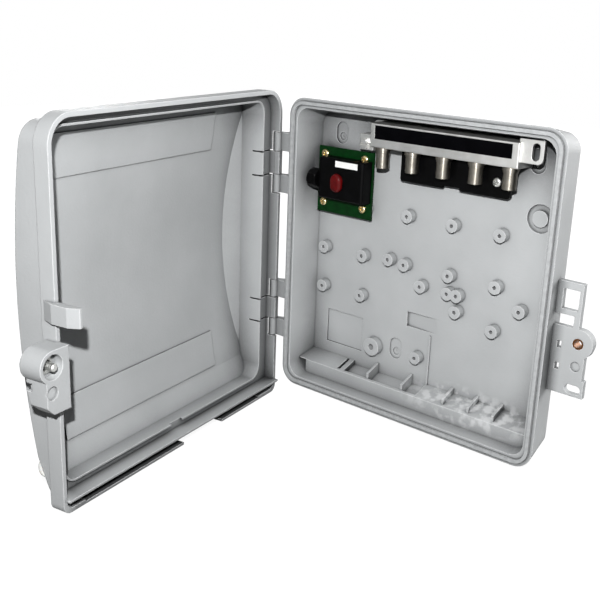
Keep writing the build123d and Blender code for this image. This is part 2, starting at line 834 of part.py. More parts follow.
def make_module():
    """Black housing on the board, with its front edge rounded."""
    body = block(module_left, module_right, module_low, module_high, board_front, module_front)
    body = fillet(body.faces().sort_by(Axis.Y)[0].edges(), module_edge)
    for x, z in four_places(board_mid_share, board_row_pitch):
        body -= rod(small_head_radius + relief_gap, x, z, board_front, module_front)
    return body


def make_lens():
    """Red oval dome on the module."""
    middle = Pos(module_left + lens_inset, module_low + lens_rise_up)
    outline = middle * Rot(0, 0, 90) * SlotOverall(lens_height, lens_width)
    dome = slab(outline, module_front, module_front - lens_rise)
    return fillet(dome.faces().sort_by(Axis.Y)[0].edges(), lens_edge)


def make_socket():
    """Round socket that leaves the module towards the left wall."""
    end = board_left - socket_reach
    mouth = Plane.YZ.offset(end) * Pos(board_front - socket_rise, module_low + socket_height_up)
    body = extrude(mouth * Circle(socket_radius), amount=module_left - end)
    return body - extrude(mouth * Circle(socket_bore_radius), amount=socket_bore_depth)


def make_strip():
    """Blank white strip on the module."""
    high = module_high - strip_top_inset
    return block(module_left + strip_left_inset, module_right - strip_right_inset, high - strip_height, high,
                 module_front, module_front - strip_thick)


nodes = {
    "base_tray": make_base(),
    "rim_gasket": ring(groove_inset, groove_width, rim + groove_depth, lip_face + ring_seat),
    "hinge_pin_upper": make_pin(lug_tops[0]),
    "hinge_pin_lower": make_pin(lug_tops[1]),
    "brass_insert": make_insert(),
    "splitter_housing": make_splitter(),
    "splitter_back_plate": make_back_plate(),
    "splitter_face": face_panel(face_thick),
    "port_dielectrics": make_dielectrics(),
    "port_guard": make_guard(),
    "guard_screw": pan_screw(guard_screw_x, guard_screw_z, guard_front, small_head_radius, small_head_height,
                             small_shank_radius, guard_screw_length),
    "ground_screw": pan_screw(ground_x, ground_z, ground_lug_front, ground_head_radius, ground_head_height,
                              ground_shank_radius, ground_shank_length),
    "circuit_board": make_board(),
    "board_screws": make_board_screws(),
    "module_housing": make_module(),
    "module_socket": make_socket(),
    "red_lens": make_lens(),
    "blank_strip": make_strip(),
    "cover": swing(make_cover()),
    "cover_plug": swing(make_plug()),
    "lock_screw": swing(make_lock_screw()),
    "lock_ring": swing(make_lock_ring()),
}
for number, place in enumerate(port_places(), start=1):
    nodes[f"coax_port_{number}"] = make_port(place)

os.makedirs("parts", exist_ok=True)
for name, solid in nodes.items():
    export_step(solid, f"parts/{name}.step")
print("nodes", len(nodes))
print("hinge axis", round(hinge_x, 3), round(hinge_y, 3), "open by", open_angle)
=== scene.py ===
import bpy
import bmesh
import math
from mathutils import Matrix, Vector


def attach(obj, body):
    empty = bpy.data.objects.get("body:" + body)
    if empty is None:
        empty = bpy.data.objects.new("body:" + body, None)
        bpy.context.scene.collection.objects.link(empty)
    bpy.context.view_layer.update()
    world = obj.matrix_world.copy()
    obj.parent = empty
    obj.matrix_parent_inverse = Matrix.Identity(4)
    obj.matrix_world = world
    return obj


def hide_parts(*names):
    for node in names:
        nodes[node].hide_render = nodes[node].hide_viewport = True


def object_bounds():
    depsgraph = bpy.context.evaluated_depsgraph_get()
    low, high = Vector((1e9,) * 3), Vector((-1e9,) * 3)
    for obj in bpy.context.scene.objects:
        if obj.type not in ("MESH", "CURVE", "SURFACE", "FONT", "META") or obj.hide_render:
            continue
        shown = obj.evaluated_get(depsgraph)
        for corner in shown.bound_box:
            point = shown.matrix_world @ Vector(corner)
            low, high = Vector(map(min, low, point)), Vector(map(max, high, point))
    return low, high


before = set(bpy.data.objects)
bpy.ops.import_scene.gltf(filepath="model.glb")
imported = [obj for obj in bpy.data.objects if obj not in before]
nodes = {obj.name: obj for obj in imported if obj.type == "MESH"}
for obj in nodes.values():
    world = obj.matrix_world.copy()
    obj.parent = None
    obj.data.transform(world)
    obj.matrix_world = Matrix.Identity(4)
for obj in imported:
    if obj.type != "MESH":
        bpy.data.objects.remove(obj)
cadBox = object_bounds()
scene = bpy.context.scene
scene.view_settings.view_transform = "Standard"
mm = 0.001
print("frame loaded,", len(nodes), "nodes")


# sRGB hex to linear
def toLinear(hexColour):
    parts = [int(hexColour[i:i + 2], 16) / 255 for i in (1, 3, 5)]
    return tuple(c / 12.92 if c <= 0.04045 else ((c + 0.055) / 1.055) ** 2.4
                 for c in parts) + (1.0,)


def addNode(tree, kind, values=None, links=None, **settings):
    node = tree.nodes.new(kind)
    for name, value in settings.items():
        setattr(node, name, value)
    for socket, value in (values or {}).items():
        node.inputs[socket].default_value = value
    for socket, source in (links or {}).items():
        tree.links.new(source, node.inputs[socket])
    return node


def newMaterial(name, shader):
    material = bpy.data.materials.new(name)
    material.use_nodes = True
    tree = material.node_tree
    tree.nodes.clear()
    body = addNode(tree, "ShaderNodeBsdfPrincipled", shader)
    addNode(tree, "ShaderNodeOutputMaterial", links={"Surface": body.outputs[0]})
    place = addNode(tree, "ShaderNodeTexCoord").outputs["Object"]
    return material, tree, body, place


def perMetre(sizeMm):
    return 1 / (sizeMm * mm)


def fromSpan(span):
    return {"From Min": span[0], "From Max": span[1]}


# Distance from the middle of a stretched round zone, 1 on its border
def zoneDistance(tree, place, zone):
    spread = [perMetre(size) for size in zone["spreadMm"]]
    shift = [-middle * mm * scale for middle, scale in zip(zone["middleMm"], spread)]
    about = addNode(tree, "ShaderNodeMapping", {"Scale": spread, "Location": shift},
                    {"Vector": place})
    return addNode(tree, "ShaderNodeVectorMath", links={0: about.outputs[0]},
                   operation="LENGTH").outputs["Value"]


# Painted shade and painted highlights over the noise colour: occlusion darkens grooves, creases and
# deep corners inside; outer edges and patches of the ledge are lightened
def addPaintedLight(tree, edgeNormal, place, colour, paintedLight):
    axes = addNode(tree, "ShaderNodeSeparateXYZ", links={"Vector": place})
    easedMiddle = paintedLight["easedMiddle"]
    # painted shade is eased off in the middle of the panel and kept off the lock's two sides
    shadeMask = addNode(tree, "ShaderNodeMapRange",
                      {**fromSpan(easedMiddle["border"]), "To Min": easedMiddle["share"]},
                      {"Value": zoneDistance(tree, place, easedMiddle)}).outputs["Result"]
    for axis, (outer, inner) in paintedLight["shadeLimitsMm"].items():
        inside = addNode(tree, "ShaderNodeMapRange", fromSpan((outer * mm, inner * mm)),
                         {"Value": axes.outputs[axis]})
        shadeMask = addNode(tree, "ShaderNodeMath",
                          links={0: shadeMask, 1: inside.outputs["Result"]},
                          operation="MULTIPLY").outputs[0]
    # painted shade: darker where ambient occlusion finds hollows, creases and corners
    for layer in paintedLight["layers"]:
        hollow = addNode(tree, "ShaderNodeAmbientOcclusion",
                         {"Distance": layer["reachMm"] * mm}, samples=paintedLight["samples"])
        depth = addNode(tree, "ShaderNodeMapRange",
                        {**fromSpan(layer["span"]), "To Min": layer["amount"], "To Max": 0.0},
                        {"Value": hollow.outputs["AO"]})
        share = depth.outputs["Result"]
        if layer["inShadeMask"]:
            share = addNode(tree, "ShaderNodeMath", links={0: share, 1: shadeMask},
                            operation="MULTIPLY").outputs[0]
        colour = addNode(tree, "ShaderNodeMix", {"B": toLinear(paintedLight["shadeTone"])},
                         {"Factor": share, "A": colour}, data_type="RGBA").outputs["Result"]
    # painted highlight: pale noise patches on the ledge in place of glare
    paintedGlare = paintedLight["paintedGlare"]
    near = addNode(tree, "ShaderNodeMapRange", fromSpan(paintedGlare["border"]),
                   {"Value": zoneDistance(tree, place, paintedGlare)})
    patch = addNode(tree, "ShaderNodeTexNoise",
                    {"Scale": perMetre(paintedGlare["patchMm"]), "Detail": paintedGlare["detail"]},
                    {"Vector": place})
    glareStrength = addNode(tree, "ShaderNodeMapRange",
                   {**fromSpan(paintedGlare["span"]), "To Max": paintedGlare["amount"]},
                   {"Value": patch.outputs["Fac"]})
    glareShare = addNode(tree, "ShaderNodeMath",
                    links={0: near.outputs["Result"], 1: glareStrength.outputs["Result"]},
                    operation="MULTIPLY")
    colour = addNode(tree, "ShaderNodeMix", {"B": toLinear(paintedLight["pale"])},
                     {"Factor": glareShare.outputs[0], "A": colour},
                     data_type="RGBA").outputs["Result"]
    # painted highlight: pale lines along open outer edges, found from the bevel normal
    edgeHighlight = paintedLight["edgeHighlight"]
    shape = addNode(tree, "ShaderNodeNewGeometry")
    bend = addNode(tree, "ShaderNodeVectorMath",
                   links={0: edgeNormal, 1: shape.outputs["True Normal"]},
                   operation="DOT_PRODUCT")
    corner = addNode(tree, "ShaderNodeMapRange",
                     {**fromSpan(edgeHighlight["bend"]), "To Max": edgeHighlight["amount"]},
                     {"Value": bend.outputs["Value"]})
    free = addNode(tree, "ShaderNodeMapRange", fromSpan(edgeHighlight["free"]),
                   {"Value": hollow.outputs["AO"]})  # of the last layer, the finest
    edgeHighlightShare = addNode(tree, "ShaderNodeMath",
                     links={0: corner.outputs["Result"], 1: free.outputs["Result"]},
                     operation="MULTIPLY")
    return addNode(tree, "ShaderNodeMix", {"B": toLinear(paintedLight["pale"])},
                   {"Factor": edgeHighlightShare.outputs[0], "A": colour},
                   data_type="RGBA").outputs["Result"]


finishBase = {"ramp": (0.3, 0.7), "cloudDetail": 4.0, "grainDetail": 3.0, "edgeSamples": 4,
              "bumpShare": 0.3}


# Surface of every piece: a two-tone noise for colour, a finer one for roughness and bump.
# A grain finer than about half a millimetre is drawn that coarse so that it shows
def addFinish(tree, body, place, look):
    cloud = addNode(tree, "ShaderNodeTexNoise",
                    {"Scale": perMetre(look["cloudMm"]), "Detail": finishBase["cloudDetail"]},
                    {"Vector": place})
    ramp = addNode(tree, "ShaderNodeValToRGB", links={"Fac": cloud.outputs["Fac"]})
    for i, tone in enumerate(("dark", "light")):
        ramp.color_ramp.elements[i].position = finishBase["ramp"][i]
        ramp.color_ramp.elements[i].color = toLinear(look[tone])
    grain = addNode(tree, "ShaderNodeTexNoise",
                    {"Scale": perMetre(look["grainMm"]), "Detail": finishBase["grainDetail"]},
                    {"Vector": place})
    rough = addNode(tree, "ShaderNodeMapRange",
                    {"To Min": look["rough"][0], "To Max": look["rough"][1]},
                    {"Value": grain.outputs["Fac"]})
    tree.links.new(rough.outputs["Result"], body.inputs["Roughness"])
    edge = addNode(tree, "ShaderNodeBevel", {"Radius": look["edgeMm"] * mm},
                   samples=finishBase["edgeSamples"])
    bump = addNode(tree, "ShaderNodeBump",
                   {"Strength": look["bump"],
                    "Distance": look["grainMm"] * mm * finishBase["bumpShare"]},
                   {"Height": grain.outputs["Fac"], "Normal": edge.outputs["Normal"]})
    tree.links.new(bump.outputs["Normal"], body.inputs["Normal"])
    colour = ramp.outputs["Color"]
    # painted shade and painted highlights go on top where a look asks for them
    if "paintedLight" in look:
        colour = addPaintedLight(tree, edge.outputs["Normal"], place, colour, look["paintedLight"])
    tree.links.new(colour, body.inputs["Base Color"])


def finishMaterial(name, shader, look):
    material, tree, body, place = newMaterial(name, shader)
    addFinish(tree, body, place, look)
    return material


# Painted shade and painted highlights of the grey mouldings; each span or border is the two ends of
# a soft step
greyPaintedLight = {
    # painted shade: the wide layer darkens deep corners and undersides inside, the fine one darkens
    # creases
    "layers": ({"reachMm": 28, "span": (0.3, 0.95), "amount": 0.92, "inShadeMask": True},
               {"reachMm": 2.5, "span": (0.3, 0.85), "amount": 0.7, "inShadeMask": False}),
    "samples": 8,
    "shadeLimitsMm": {"X": (118, 112), "Y": (-262, -252)},  # leaves out the lock's two sides
    # the middle of the panel, among the bosses, where the painted shade is eased off
    "easedMiddle": {"middleMm": (0, -8, 0), "spreadMm": (112, 22, 98), "border": (0.85, 1.1),
              "share": 0.3},
    # pale noise patches on the ledge: a painted highlight standing in for glare
    "paintedGlare": {"middleMm": (50, -12, -92), "spreadMm": (58, 22, 13), "border": (1.1, 0.5),
               "patchMm": 7, "detail": 5.0, "span": (0.46, 0.6), "amount": 0.5},
    "edgeHighlight": {"bend": (0.995, 0.93), "free": (0.8, 0.97), "amount": 0.7},
    # colours of the painted shade and of the painted highlights
    "shadeTone": "#1C1D1E", "pale": "#DCDDDE",
}
# Moulded ABS, light grey: satin, with a fine spark-eroded grain drawn coarser than real so that it
# shows, under painted shade in its hollows and painted highlights on edges and ledge
greyAbs = finishMaterial("mouldedGreyAbs", {"IOR": 1.53, "Specular IOR Level": 0.05},
                         {"dark": "#A8AAAB", "light": "#B1B3B4", "cloudMm": 45, "grainMm": 1.8,
                          "rough": (0.42, 0.56), "bump": 0.24, "edgeMm": 0.8,
                          "paintedLight": greyPaintedLight})
# Moulded ABS, black: soft highlights broken by a fine grain
blackPlastic = finishMaterial("mouldedBlackAbs", {"IOR": 1.5, "Specular IOR Level": 0.06},
                              {"dark": "#030303", "light": "#070708", "cloudMm": 8,
                               "grainMm": 0.8, "rough": (0.3, 0.45), "bump": 0.1,
                               "edgeMm": 0.5})
# Nickel plate on a zinc casting: bright, slightly cloudy from the casting skin
nickelCast = finishMaterial("nickelPlatedZinc", {"Metallic": 1.0},
                            {"dark": "#D3D3D0", "light": "#E4E4E2", "cloudMm": 9, "grainMm": 0.9,
                             "rough": (0.33, 0.4), "bump": 0.02, "edgeMm": 0.6})
# Nickel plate on turned brass: fine rings of the lathe draw the highlight out along the axis
turnedPlate = {"dark": "#7B776F", "light": "#8D8981", "cloudMm": 3, "grainMm": 0.6,
               "rough": (0.4, 0.44), "bump": 0.02, "edgeMm": 0.3}
nickelTurned = finishMaterial("nickelPlatedBrass",
                              {"Metallic": 1.0, "Anisotropic": 0.85,
                               "Anisotropic Rotation": 0.25}, turnedPlate)
turnedTree = nickelTurned.node_tree
roundAxis = addNode(turnedTree, "ShaderNodeTangent", direction_type="RADIAL", axis="Z")
turnedTree.links.new(roundAxis.outputs[0],
                     turnedTree.nodes["Principled BSDF"].inputs["Tangent"])
# The same plate on the rolled threads, whose ridges spread the highlight by themselves
nickelThread = finishMaterial("nickelPlatedThread", {"Metallic": 1.0}, turnedPlate)
# Zinc plated steel: grey, satin, faint passivation bloom
zincSteel = finishMaterial("zincPlatedSteel", {"Metallic": 1.0},
                           {"dark": "#A7A8A6", "light": "#C6C7C3", "cloudMm": 4, "grainMm": 0.5,
                            "rough": (0.24, 0.4), "bump": 0.05, "edgeMm": 0.3})
# Zinc plated spring steel, tumbled: pale and matt
tumbledZinc = finishMaterial("tumbledZincSteel", {"Metallic": 1.0},
                             {"dark": "#A9AAA8", "light": "#BFC0BD", "cloudMm": 3,
                              "grainMm": 0.5, "rough": (0.5, 0.6), "bump": 0.05,
                              "edgeMm": 0.3})
# Zinc plated steel, yellow passivated: a straw tint that changes from patch to patch
yellowZinc = finishMaterial("yellowPassivatedSteel", {"Metallic": 1.0},
                            {"dark": "#B59C66", "light": "#E0D2A6", "cloudMm": 2.5,
                             "grainMm": 0.5, "rough": (0.2, 0.35), "bump": 0.05,
                             "edgeMm": 0.3})
# Turned brass, tarnished: brown with a dull sheen
turnedBrass = finishMaterial("turnedBrass", {"Metallic": 1.0},
                             {"dark": "#4E331F", "light": "#6E4A2E", "cloudMm": 2,
                              "grainMm": 0.4, "rough": (0.4, 0.5), "bump": 0.05,
                              "edgeMm": 0.2})
# Solder resist over glass-fibre laminate: deep green, faintly uneven
greenResist = finishMaterial("greenSolderResist", {"IOR": 1.55, "Specular IOR Level": 0.08},
                             {"dark": "#032008", "light": "#05300F", "cloudMm": 5,
                              "grainMm": 0.8, "rough": (0.3, 0.45), "bump": 0.08,
                              "edgeMm": 0.2})
# Acrylic, moulded and dyed: a glossy dark red dome, unlit
redAcrylic = finishMaterial("dyedRedAcrylic", {"IOR": 1.49, "Specular IOR Level": 0.2},
                            {"dark": "#400304", "light": "#5C0506", "cloudMm": 4, "grainMm": 1.0,
                             "rough": (0.15, 0.25), "bump": 0.02, "edgeMm": 0.3})
# Screen-printed ink: flat black with hardly any sheen
blackPrint = finishMaterial("screenPrintedBlack", {"IOR": 1.5, "Specular IOR Level": 0.02},
                            {"dark": "#020203", "light": "#050507", "cloudMm": 12,
                             "grainMm": 0.6, "rough": (0.35, 0.5), "bump": 0.04,
                             "edgeMm": 0.2})
# Bare paper: white and matt
whitePaper = finishMaterial("whitePaperStrip", {"IOR": 1.45},
                            {"dark": "#E4E4E2", "light": "#F1F1EF", "cloudMm": 3, "grainMm": 0.5,
                             "rough": (0.6, 0.75), "bump": 0.1, "edgeMm": 0.1})
# Natural acetal, turned: milky white, satin
whiteAcetal = finishMaterial("turnedWhiteAcetal", {"IOR": 1.48},
                             {"dark": "#D8D6CF", "light": "#E8E7E1", "cloudMm": 2,
                              "grainMm": 0.4, "rough": (0.4, 0.5), "bump": 0.05,
                              "edgeMm": 0.1})
# Foam rubber cord, extruded: grey, matt, open pores
foamCord = finishMaterial("foamRubberCord", {"IOR": 1.5},
                          {"dark": "#9A9C9D", "light": "#AEB0B1", "cloudMm": 3, "grainMm": 0.8,
                           "rough": (0.75, 0.9), "bump": 0.3, "edgeMm": 0.3})
# Natural polyethylene, moulded: pale and waxy
palePlug = finishMaterial("mouldedPalePolyethylene", {"IOR": 1.51, "Subsurface Weight": 0.05},
                          {"dark": "#CFCFCB", "light": "#DEDEDA", "cloudMm": 5, "grainMm": 0.9,
                           "rough": (0.4, 0.55), "bump": 0.08, "edgeMm": 0.4})

portCount = 5
nodeMaterials = {
    "base_tray": greyAbs, "cover": greyAbs, "rim_gasket": foamCord,
    "hinge_pin_upper": zincSteel, "hinge_pin_lower": zincSteel, "brass_insert": turnedBrass,
    "splitter_housing": nickelCast, "splitter_back_plate": nickelCast,
    "splitter_face": blackPrint, "port_dielectrics": whiteAcetal, "port_guard": blackPlastic,
    "guard_screw": zincSteel, "ground_screw": zincSteel, "circuit_board": greenResist,
    "board_screws": yellowZinc, "module_housing": blackPlastic, "module_socket": blackPlastic,
    "red_lens": redAcrylic, "blank_strip": whitePaper, "cover_plug": palePlug,
    "lock_screw": tumbledZinc, "lock_ring": tumbledZinc,
}
for number in range(1, portCount + 1):
    nodeMaterials[f"coax_port_{number}"] = nickelTurned
for name, material in nodeMaterials.items():
    mesh = nodes[name].data
    mesh.materials.clear()
    mesh.materials.append(material)
print("finishes on", len(nodeMaterials), "pieces of the frame")


# Skin between two loops of the same count
def joinLoops(shape, low, high):
    count = len(low)
    for i in range(count):
        j = (i + 1) % count
        shape.faces.new((low[i], low[j], high[j], high[i]))


def closedMesh(name, shape):
    bmesh.ops.recalc_face_normals(shape, faces=shape.faces)
    mesh = bpy.data.meshes.new(name)
    shape.to_mesh(mesh)
    shape.free()
    return mesh


turning = {"steps": 40, "hexagonSteps": 48, "sharpDegrees": 32}


# Turned shape about Z from rings of (height, radius, shaped) in millimetres;
# flats give a hexagon, recess a driver slot
def turnedMesh(name, rings, steps=turning["steps"], flats=0, recess=None):
    shape = bmesh.new()
    loops = []
    for height, radius, shaped in rings:
        loop = []
        for i in range(steps):
            angle = 2 * math.pi * i / steps
            reach = radius
            if flats and shaped:
                part = math.pi / flats
                reach = radius * math.cos(part) / math.cos(angle % (2 * part) - part)
            x, y = reach * math.cos(angle), reach * math.sin(angle)
            level = height
            if recess and height >= recess["above"] and inRecess(x, y, recess):
                level = height - recess["depth"]
            loop.append(shape.verts.new((x * mm, y * mm, level * mm)))
        loops.append(loop)
    for low, high in zip(loops, loops[1:]):
        joinLoops(shape, low, high)
    shape.faces.new(loops[0][::-1])
    shape.faces.new(loops[-1])
    for face in shape.faces:
        face.smooth = True
    mesh = closedMesh(name, shape)
    mesh.set_sharp_from_angle(angle=math.radians(turning["sharpDegrees"]))
    return mesh


def inRecess(x, y, recess):
    across = abs(y) < recess["width"] / 2 and abs(x) < recess["reach"]
    upright = abs(x) < recess["width"] / 2 and abs(y) < recess["reach"]
    return across or (recess["arms"] == 2 and upright)


doming = {"rings": 15, "tip": 0.05, "shapedRings": 3}


# Rings of a domed head over its shank, closed at the top by ever smaller rings
def headRings(head):
    rings = [(-head["shankLength"], head["shank"], False), (0, head["shank"], False),
             (0, head["radius"], True)]
    rise = head["height"] - head["edge"]
    for step in range(1, doming["rings"]):
        inner = head["radius"] * (1 - step / doming["rings"]) + doming["tip"]
        dome = (1 - (inner / (head["radius"] + doming["tip"])) ** head["power"]) ** 0.5
        rings.append((head["edge"] + rise * dome, inner, step < doming["shapedRings"]))
    return rings


def newTree(name, inputs):
    tree = bpy.data.node_groups.new(name, "GeometryNodeTree")
    tree.interface.new_socket("Geometry", in_out="OUTPUT", socket_type="NodeSocketGeometry")
    sockets = {label: tree.interface.new_socket(label, in_out="INPUT", socket_type=kind).identifier
               for label, kind in inputs.items()}
    return tree, sockets, tree.nodes.new("NodeGroupInput").outputs


def endTree(tree, geometry, finish):
    solid = addNode(tree, "GeometryNodeRealizeInstances", links={"Geometry": geometry})
    dressed = addNode(tree, "GeometryNodeSetMaterial",
                      links={"Geometry": solid.outputs[0], "Material": finish})
    addNode(tree, "NodeGroupOutput", links={0: dressed.outputs[0]})


# Copies of one shape at the points of a mesh
copyTree, copySockets, given = newTree("copiesOnPoints", {
    "Points": "NodeSocketGeometry", "Shape": "NodeSocketObject", "Finish": "NodeSocketMaterial"})
shapeInfo = addNode(copyTree, "GeometryNodeObjectInfo", links={"Object": given["Shape"]})
copies = addNode(copyTree, "GeometryNodeInstanceOnPoints",
                 links={"Points": given["Points"], "Instance": shapeInfo.outputs["Geometry"]})
endTree(copyTree, copies.outputs[0], given["Finish"])

# Screw thread: a ridge wound on a helix, repeated along a row
winding = {"perTurn": 28, "aroundRidge": 10}
threadTree, threadSockets, given = newTree("threadRow", {
    "Turns": "NodeSocketFloat", "Radius": "NodeSocketFloat", "Rise": "NodeSocketFloat",
    "Ridge": "NodeSocketFloat", "Count": "NodeSocketInt", "Start": "NodeSocketVector",
    "Step": "NodeSocketVector", "Finish": "NodeSocketMaterial"})
helix = addNode(threadTree, "GeometryNodeCurveSpiral", {"Resolution": winding["perTurn"]},
                {"Rotations": given["Turns"], "Start Radius": given["Radius"],
                 "End Radius": given["Radius"], "Height": given["Rise"]})
ridge = addNode(threadTree, "GeometryNodeCurvePrimitiveCircle",
                {"Resolution": winding["aroundRidge"]}, {"Radius": given["Ridge"]})
wound = addNode(threadTree, "GeometryNodeCurveToMesh", {"Fill Caps": True},
                {"Curve": helix.outputs[0], "Profile Curve": ridge.outputs[0]})
smooth = addNode(threadTree, "GeometryNodeSetShadeSmooth", links={"Geometry": wound.outputs[0]})
row = addNode(threadTree, "GeometryNodeMeshLine",
              links={"Count": given["Count"], "Start Location": given["Start"],
                     "Offset": given["Step"]})
threads = addNode(threadTree, "GeometryNodeInstanceOnPoints",
                  links={"Points": row.outputs[0], "Instance": smooth.outputs[0]})
endTree(threadTree, threads.outputs[0], given["Finish"])


# Runs a tree on an object, keeps the result as a plain mesh and drops the modifier
def grownPiece(name, mesh, tree, inputs):
    piece = bpy.data.objects.new(name, mesh)
    scene.collection.objects.link(piece)
    modifier = piece.modifiers.new("grow", "NODES")
    modifier.node_group = tree
    for identifier, value in inputs.items():
        modifier[identifier] = value
    ready = piece.evaluated_get(bpy.context.evaluated_depsgraph_get())
    grown = bpy.data.meshes.new_from_object(ready)
    piece.modifiers.clear()
    piece.data = grown
    return piece


def placeCopies(name, mesh, places, finish):
    shape = bpy.data.objects.new(name + "Shape", mesh)
    points = bpy.data.meshes.new(name)
    points.from_pydata([tuple(c * mm for c in place) for place in places], [], [])
    piece = grownPiece(name, points, copyTree,
                       {copySockets["Shape"]: shape, copySockets["Finish"]: finish})
    bpy.data.objects.remove(shape)
    return piece


def growThreads(name, thread, finish):
    values = {"Turns": thread["turns"], "Radius": thread["radius"] * mm,
              "Rise": thread["rise"] * mm, "Ridge": thread["ridge"] * mm,
              "Count": thread["count"], "Start": [c * mm for c in thread["start"]],
              "Step": [thread["step"] * mm, 0.0, 0.0], "Finish": finish}
    return grownPiece(name, bpy.data.meshes.new(name), threadTree,
                      {threadSockets[label]: value for label, value in values.items()})


faceOut = Matrix.Rotation(math.pi / 2, 4, "X")  # turns an upright head to face out of the wall
hinge = {"x": -123.8, "y": -27.7, "open": 79.5}
pivot = Vector((hinge["x"], hinge["y"], 0)) * mm
swing = Matrix.Rotation(math.radians(-hinge["open"]), 4, "Z")
swingOpen = Matrix.Translation(pivot) @ swing @ Matrix.Translation(-pivot)


# Takes a piece of the lock from its own axis to its place in the open cover
def intoLock(place):
    towardsWall = Matrix.Rotation(-math.pi / 2, 4, "X")
    return swingOpen @ Matrix.Translation(Vector(place) * mm) @ towardsWall


# Coax thread, 32 to the inch, on the five ports
portThread = {"turns": 13.0, "radius": 4.68, "rise": 10.3, "ridge": 0.16, "count": portCount,
              "start": (-32.41, -17.0, 69.75), "step": 25.4}
portThreads = growThreads("portThreads", portThread, nickelThread)
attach(portThreads, "base_unit")

# Cross-recess screws of the board and of the port guard
boardScrew = {"radius": 3.2, "height": 2.0, "edge": 0.5, "power": 2.4, "shank": 1.3,
              "shankLength": 4.5, "middle": (-71.5, -10.6, 53.71), "across": 37.4, "up": 36.6,
              "recess": {"above": 0.4, "width": 0.95, "reach": 1.9, "depth": 0.9, "arms": 2}}
screwMesh = turnedMesh("crossHead", headRings(boardScrew), recess=boardScrew["recess"])
screwMesh.transform(faceOut)
x, y, z = boardScrew["middle"]
corners = [(x + right * boardScrew["across"] / 2, y, z + top * boardScrew["up"] / 2)
           for right in (-1, 1) for top in (-1, 1)]
boardScrews = placeCopies("boardScrews", screwMesh, corners, yellowZinc)
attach(boardScrews, "base_unit")
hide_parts("board_screws")
guardScrew = {"place": (56.99, -10.8, 71.8)}
guardScrews = placeCopies("guardScrew", screwMesh, [guardScrew["place"]], zincSteel)
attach(guardScrews, "base_unit")
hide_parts("guard_screw")

# Ground screw: slotted hexagon
groundScrew = {"radius": 4.2, "height": 3.2, "edge": 2.3, "power": 5.0, "shank": 2.0,
               "shankLength": 7.0, "flats": 6, "place": (-47.01, -18.6, 85.2),
               "recess": {"above": 2.4, "width": 1.3, "reach": 4.0, "depth": 1.1, "arms": 1}}
groundMesh = turnedMesh("slottedHexagon", headRings(groundScrew), turning["hexagonSteps"],
                        groundScrew["flats"], groundScrew["recess"])
groundMesh.transform(faceOut)
groundScrews = placeCopies("groundScrew", groundMesh, [groundScrew["place"]], nickelCast)
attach(groundScrews, "base_unit")
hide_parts("ground_screw")

# Thin webs left in the fixing holes, pierced when the box goes on its wall
holeWeb = {"radius": 3.05, "back": -0.5, "thick": 0.7, "dimple": 1.1, "dimpleDepth": 0.5,
           "dimpleTaper": 0.7, "places": [(-81.0, 85.4), (81.0, 85.4), (-19.89, -70.39)]}
dimpleFloor = holeWeb["thick"] * (1 - holeWeb["dimpleDepth"])
webRings = [(0, holeWeb["radius"], False), (holeWeb["thick"], holeWeb["radius"], False),
            (holeWeb["thick"], holeWeb["dimple"], False),
            (dimpleFloor, holeWeb["dimple"] * holeWeb["dimpleTaper"], False)]
webMesh = turnedMesh("holeWeb", webRings)
webMesh.transform(faceOut)
webPlaces = [(x, holeWeb["back"], z) for x, z in holeWeb["places"]]
holeWebs = placeCopies("fixingHoleWebs", webMesh, webPlaces, greyAbs)
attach(holeWebs, "base_unit")

# Thin webs at the bottom of the slits beside the cover's knuckles, where the moulding is closed
slitWeb = {"outline": [(-123.1, -34.8), (-109.0, -34.8), (-109.0, -39.9), (-108.6, -39.9),
                       (-108.6, -34.2), (-123.1, -34.2)],
           "half": 0.57, "levels": (71.69, 53.49, -44.61, -62.81)}
shape = bmesh.new()
low, high = [[shape.verts.new((x * mm, y * mm, z * mm)) for x, y in slitWeb["outline"]]
             for z in (-slitWeb["half"], slitWeb["half"])]
shape.faces.new(low)
shape.faces.new(high)
joinLoops(shape, low, high)
slitMesh = closedMesh("slitWeb", shape)
slitPlaces = [(0, 0, z) for z in slitWeb["levels"]]
slitWebs = placeCopies("hingeSlitWebs", slitMesh, slitPlaces, greyAbs)
slitWebs.data.transform(swingOpen)
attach(slitWebs, "cover_unit")

# Coupling nut of the module's side socket
nut = {"radius": 7.6, "bore": 4.4, "length": 8.2, "chamfer": 1.0, "flats": 6, "floorShare": 1 / 3,
       "boreTaper": 0.95, "contact": 0.6, "face": (-87.9, -18.8, 54.0)}
nutEnd = nut["radius"] - nut["chamfer"]
nutFloor = nut["length"] * nut["floorShare"]
nutRings = [(0, nutEnd, False), (nut["chamfer"], nut["radius"], True),
            (nut["length"] - nut["chamfer"], nut["radius"], True), (nut["length"], nutEnd, False),
            (nut["length"], nut["bore"], False),
            (nutFloor, nut["bore"] * nut["boreTaper"], False), (nutFloor, nut["contact"], False)]
nutMesh = turnedMesh("couplingNut", nutRings, turning["hexagonSteps"], nut["flats"])
nutMesh.transform(Matrix.Rotation(-math.pi / 2, 4, "Y"))
sideSocket = placeCopies("sideSocketNut", nutMesh, [nut["face"]], blackPlastic)
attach(sideSocket, "base_unit")
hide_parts("module_socket")
print("threads, screws, webs and socket made")

